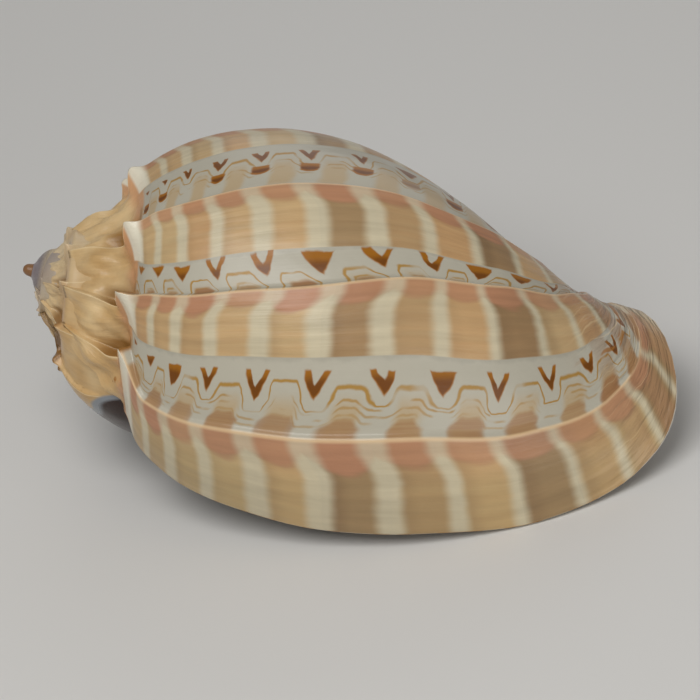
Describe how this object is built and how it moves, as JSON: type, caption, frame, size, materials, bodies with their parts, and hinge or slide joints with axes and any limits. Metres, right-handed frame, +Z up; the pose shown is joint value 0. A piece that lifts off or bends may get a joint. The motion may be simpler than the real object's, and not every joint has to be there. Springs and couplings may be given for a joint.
{
  "type": "harp shell",
  "caption": "Ribbed sea snail shell with a low spiny spire, a swollen body whorl, a wide open mouth and a thick turned outer lip.",
  "frame": {"origin": "bottom centre of the shell's bounding box as it lies at rest, mouth down", "axes": "+X towards the front (canal) end of the shell, along its longest extent; -Y towards the outer lip; +Z up, away from the mouth"},
  "size_m": [0.0792, 0.0502, 0.0392],
  "materials": {
    "shell": "glossy natural shell: cream with pink-brown and tan banded ribs, dark brown glossy callus by the mouth, cream inside"
  },
  "bodies": {
    "root": {"shell": "shell"}
  },
  "joints": []
}
